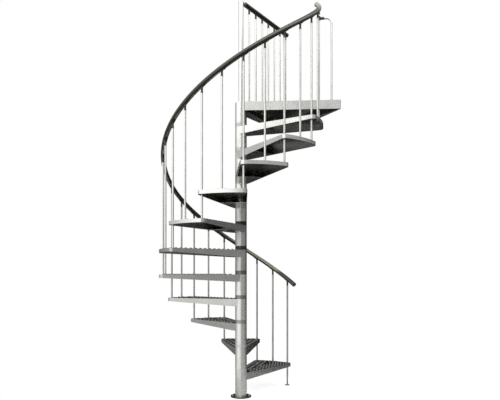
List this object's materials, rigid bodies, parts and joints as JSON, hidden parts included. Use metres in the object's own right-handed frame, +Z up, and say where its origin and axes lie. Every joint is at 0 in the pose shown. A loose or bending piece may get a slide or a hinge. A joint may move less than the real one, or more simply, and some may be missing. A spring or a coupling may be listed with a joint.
{
  "type": "spiral staircase",
  "caption": "Spiral stair on a central column with folded sheet treads, a triangular landing, round-bar balusters and a covered helical handrail.",
  "frame": {"origin": "centre of the base flange's lower face, on the floor", "axes": "+Z up along the column, +X to the viewer's right in the picture, +Y away from the viewer"},
  "size_m": [1.5422, 1.4227, 3.4258],
  "materials": {
    "galvanised": "hot-dip galvanised, matt with a soft spangle",
    "spacer_ring": "grey moulded, satin",
    "rail_cover": "dark grey extruded cover, satin",
    "rail_fitting": "dark grey moulded, satin"
  },
  "bodies": {
    "root": {"base_flange": "galvanised", "base_collar": "galvanised", "central_pole": "galvanised", "pole_cap": "galvanised", "tread_01": "galvanised", "tread_02": "galvanised", "tread_03": "galvanised", "tread_04": "galvanised", "tread_05": "galvanised", "tread_06": "galvanised", "tread_07": "galvanised", "tread_08": "galvanised", "tread_09": "galvanised", "tread_10": "galvanised", "tread_11": "galvanised", "landing": "galvanised", "floor_baluster": "galvanised", "floor_baluster_foot": "galvanised", "middle_balusters": "galvanised", "corner_balusters": "galvanised", "landing_balusters": "galvanised", "bent_post": "galvanised", "landing_rail_bracket": "galvanised", "spacer_rings": "spacer_ring", "handrail": "rail_cover", "landing_rail": "rail_cover", "handrail_caps": "rail_fitting", "landing_rail_cap": "rail_fitting", "baluster_sockets": "rail_fitting", "landing_sockets": "rail_fitting", "bent_post_clamp": "rail_fitting"}
  },
  "joints": []
}
